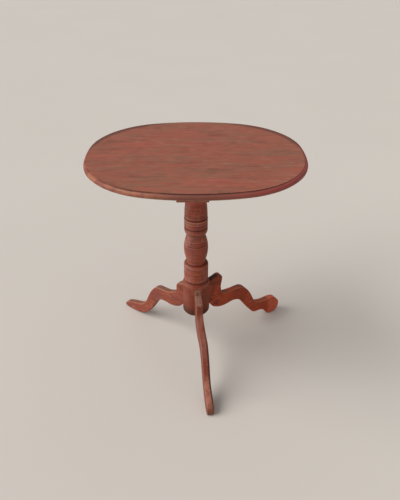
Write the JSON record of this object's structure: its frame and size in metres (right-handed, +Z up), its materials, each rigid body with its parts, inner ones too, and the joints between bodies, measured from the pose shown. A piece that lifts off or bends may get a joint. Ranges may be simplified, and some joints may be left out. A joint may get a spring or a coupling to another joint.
{
  "type": "wine table",
  "caption": "Oval-topped wine table: moulded plank top on a bearer, a turned column and scroll-sawn legs with pegged tenons, in worn red-brown paint.",
  "frame": {"origin": "on the floor, under the column's axis", "axes": "+Z up along the column, +X along the top's long axis to the right of the picture, -Y towards the front leg and the camera"},
  "size_m": [0.6224, 0.5875, 0.717],
  "materials": {
    "top_paint": "old red-brown paint on pine, satin, faded and rubbed in streaks",
    "base_paint": "old red-brown paint on pine, satin, rubbed to bare wood on edges",
    "bare_wood": "bare wood, matte",
    "screw_steel": "dulled steel"
  },
  "bodies": {
    "root": {"top_board_front": "top_paint", "top_board_middle": "top_paint", "top_board_rear": "top_paint", "edge_dowels": "bare_wood", "bearer": "base_paint", "bearer_screws": "screw_steel", "column": "base_paint", "leg_pegs": "base_paint", "tenon_wedge": "bare_wood", "leg_front": "base_paint", "leg_left": "base_paint", "leg_right": "base_paint"}
  },
  "joints": []
}
